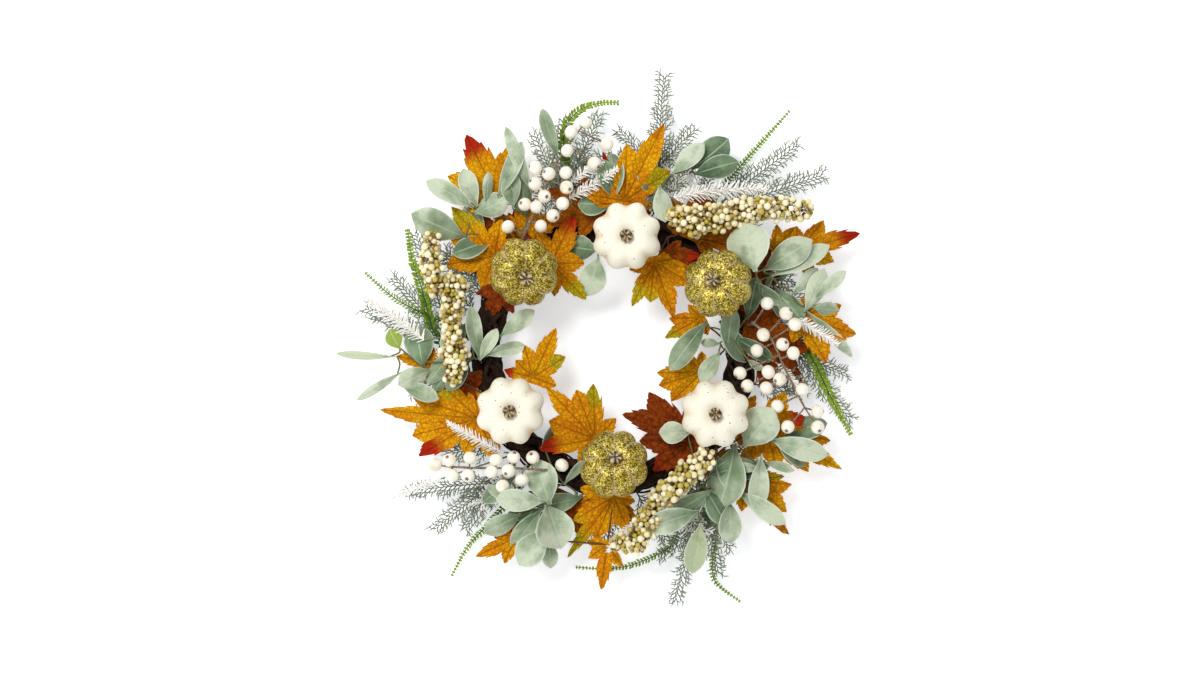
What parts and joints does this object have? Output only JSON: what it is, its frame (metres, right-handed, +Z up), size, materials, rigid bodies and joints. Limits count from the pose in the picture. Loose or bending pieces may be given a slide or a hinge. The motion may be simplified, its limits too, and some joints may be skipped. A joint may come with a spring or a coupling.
{
  "type": "harvest door wreath",
  "caption": "Round autumn door wreath: a bound vine ring with small pumpkins, maple and lamb's ear leaves, berries, seed sprays and ferns, hung by a wire loop.",
  "frame": {"origin": "the point on the door face where the hook carries the top of the hanging loop", "axes": "+Z up, +X to the right as seen from the front, -Y out of the door towards the viewer; the door is the plane y = 0"},
  "size_m": [0.5514, 0.1122, 0.5643],
  "materials": {
    "vine": "rough dry bark",
    "wire": "matt brown paper-covered florist wire",
    "white_pumpkin": "painted foam, ivory with beige blush and fine dark specks",
    "gold_pumpkin": "painted foam, olive gold with glitter and beige rib lines",
    "pumpkin_stem": "moulded, dry taupe brown",
    "maple_leaf": "printed polyester leaf, golden orange with red and green tips",
    "lambs_ear_leaf": "flocked polyester leaf, pale sage",
    "berry": "warm white satin",
    "seed": "cream, tan and gold-yellow beads",
    "fern": "moulded, grey green with white frosting",
    "green_twig": "moulded, fresh green"
  },
  "bodies": {
    "root": {"berry_spray_1": "berry", "berry_spray_2": "berry", "berry_spray_3": "berry", "binding_wire_1": "wire", "binding_wire_2": "wire", "fern_spray_1": "fern", "fern_spray_2": "fern", "fern_spray_3": "fern", "fern_spray_4": "fern", "fern_spray_5": "fern", "fern_spray_6": "fern", "fern_spray_7": "fern", "gold_pumpkin_1": "gold_pumpkin", "gold_pumpkin_1_pick": "wire", "gold_pumpkin_1_stem": "pumpkin_stem", "gold_pumpkin_2": "gold_pumpkin", "gold_pumpkin_2_pick": "wire", "gold_pumpkin_2_stem": "pumpkin_stem", "gold_pumpkin_3": "gold_pumpkin", "gold_pumpkin_3_pick": "wire", "gold_pumpkin_3_stem": "pumpkin_stem", "lambs_ear_sprig_1": "lambs_ear_leaf", "lambs_ear_sprig_2": "lambs_ear_leaf", "lambs_ear_sprig_3": "lambs_ear_leaf", "lambs_ear_sprig_4": "lambs_ear_leaf", "lambs_ear_sprig_5": "lambs_ear_leaf", "lambs_ear_sprig_6": "lambs_ear_leaf", "lambs_ear_sprig_7": "lambs_ear_leaf", "lambs_ear_sprig_8": "lambs_ear_leaf", "maple_pick_1": "maple_leaf", "maple_pick_2": "maple_leaf", "maple_pick_3": "maple_leaf", "maple_pick_4": "maple_leaf", "maple_pick_5": "maple_leaf", "maple_pick_6": "maple_leaf", "maple_pick_7": "maple_leaf", "maple_pick_8": "maple_leaf", "maple_pick_9": "maple_leaf", "seed_spray_1": "seed", "seed_spray_2": "seed", "seed_spray_3": "seed", "vine_back": "vine", "vine_core": "vine", "vine_wrap_1": "vine", "vine_wrap_2": "vine", "vine_wrap_3": "vine", "white_pumpkin_1": "white_pumpkin", "white_pumpkin_1_pick": "wire", "white_pumpkin_1_stem": "pumpkin_stem", "white_pumpkin_2": "white_pumpkin", "white_pumpkin_2_pick": "wire", "white_pumpkin_2_stem": "pumpkin_stem", "white_pumpkin_3": "white_pumpkin", "white_pumpkin_3_pick": "wire", "white_pumpkin_3_stem": "pumpkin_stem"},
    "hanging_loop": {"hanging_loop": "wire"},
    "green_twig_1": {"green_twig_1": "green_twig"},
    "green_twig_2": {"green_twig_2": "green_twig"},
    "green_twig_3": {"green_twig_3": "green_twig"},
    "green_twig_4": {"green_twig_4": "green_twig"}
  },
  "joints": [
    {"name": "loop_swing", "type": "hinge", "parent": "root", "child": "hanging_loop", "pos_m": [0, -0.00346, -0.043], "axis": [1, 0, 0], "range_deg": [-180, 0]},
    {"name": "twig_1_bend", "type": "hinge", "parent": "root", "child": "green_twig_1", "pos_m": [0.07674, -0.00546, -0.05028], "axis": [0, -1, 0], "range_deg": [-12, 12]},
    {"name": "twig_2_bend", "type": "hinge", "parent": "root", "child": "green_twig_2", "pos_m": [0.06764, -0.00546, -0.31076], "axis": [0, -1, 0], "range_deg": [-12, 12]},
    {"name": "twig_3_bend", "type": "hinge", "parent": "root", "child": "green_twig_3", "pos_m": [0.08332, -0.01046, -0.30153], "axis": [0, -1, 0], "range_deg": [-12, 12]},
    {"name": "twig_4_bend", "type": "hinge", "parent": "root", "child": "green_twig_4", "pos_m": [-0.08332, -0.00546, -0.30153], "axis": [0, -1, 0], "range_deg": [-12, 12]}
  ]
}
